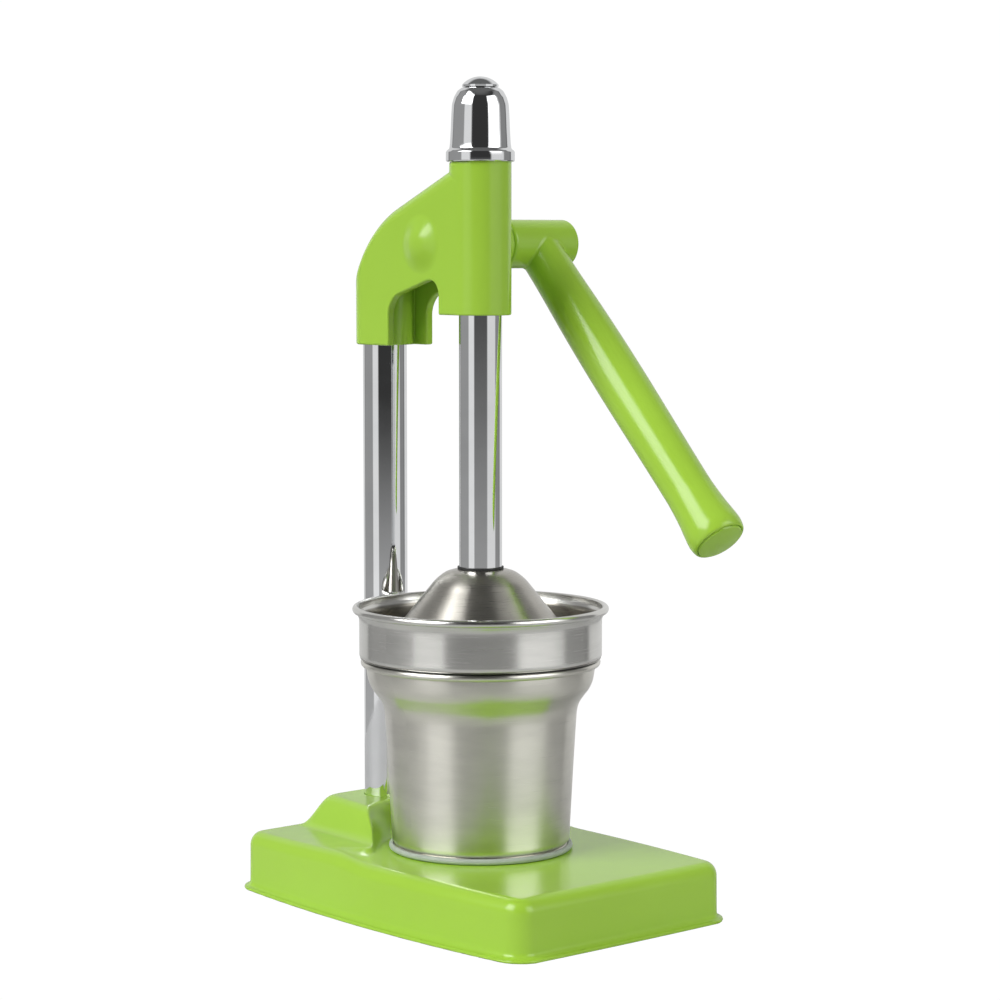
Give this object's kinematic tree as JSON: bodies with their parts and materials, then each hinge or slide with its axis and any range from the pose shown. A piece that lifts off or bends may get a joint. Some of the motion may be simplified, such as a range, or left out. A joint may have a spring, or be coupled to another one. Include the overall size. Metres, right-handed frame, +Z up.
{
  "type": "manual citrus press",
  "caption": "Free-standing hand citrus press: a side lever turns a pinion that drives a rack-backed plunger and bell down onto a strainer, bowl and cup on an enamelled base.",
  "frame": {"origin": "on the plunger's axis, which is 2 mm ahead of the middle of the base, on the surface the rubber feet stand on", "axes": "+Z up, -Y to the front where the cup stands, +Y to the rear where the column stands, +X to the side with the lever's hub"},
  "size_m": [0.1401, 0.2039, 0.3658],
  "materials": {
    "green_enamel": "glossy lime green enamel",
    "chrome": "bright chrome plate",
    "stainless": "satin, spun, with the grain running round",
    "steel": "plain turned and milled steel",
    "bronze": "sintered bronze, oiled",
    "black_rubber": "matt black",
    "grey_rubber": "matt grey-green"
  },
  "bodies": {
    "frame": {"base_pan": "green_enamel", "support_plate": "steel", "foot_studs": "steel", "rubber_feet": "black_rubber", "foot_nuts": "steel", "column_tube": "chrome", "column_plug": "steel", "column_bolt": "steel", "column_washer": "steel", "head_casting": "green_enamel", "column_set_screws": "steel", "upper_guide_bush": "bronze", "lower_guide_bush": "bronze", "left_shaft_bush": "bronze", "right_shaft_bush": "bronze"},
    "lever": {"cross_shaft": "steel", "pinion": "steel", "pinion_key": "steel", "thrust_washers": "bronze", "handle_lever": "green_enamel", "handle_end_plug": "green_enamel", "handle_set_screw": "steel"},
    "plunger": {"plunger_rod": "chrome", "rack_bar": "steel", "rack_screws": "steel", "cap_dome": "chrome", "cap_screw": "chrome", "bell_gasket": "black_rubber", "press_bell": "stainless", "bell_washer": "steel", "bell_bolt": "steel"},
    "cup": {"juice_cup": "stainless", "cup_foot_ring": "grey_rubber"},
    "bowl": {"juice_bowl": "stainless"},
    "strainer": {"strainer_cone": "stainless"}
  },
  "joints": [
    {"name": "handle_swing", "type": "hinge", "parent": "frame", "child": "lever", "pos_m": [0, 0.025, 0.2932], "axis": [-1, 0, 0], "range_deg": [0, 165]},
    {"name": "plunger_lift", "type": "slide", "parent": "frame", "child": "plunger", "axis": [0, 0, 1], "range_m": [0, 0.0433]},
    {"name": "cup_lift", "type": "slide", "parent": "frame", "child": "cup", "axis": [0, 0, 1], "range_m": [0, 0.0015]},
    {"name": "bowl_lift", "type": "slide", "parent": "cup", "child": "bowl", "axis": [0, 0, 1], "range_m": [0, 0.0015]},
    {"name": "strainer_lift", "type": "slide", "parent": "bowl", "child": "strainer", "axis": [0, 0, 1], "range_m": [0, 0.0012]}
  ],
  "couplings": [
    {"joint": "plunger_lift", "follows": "handle_swing", "m_per_rad": 0.015}
  ]
}
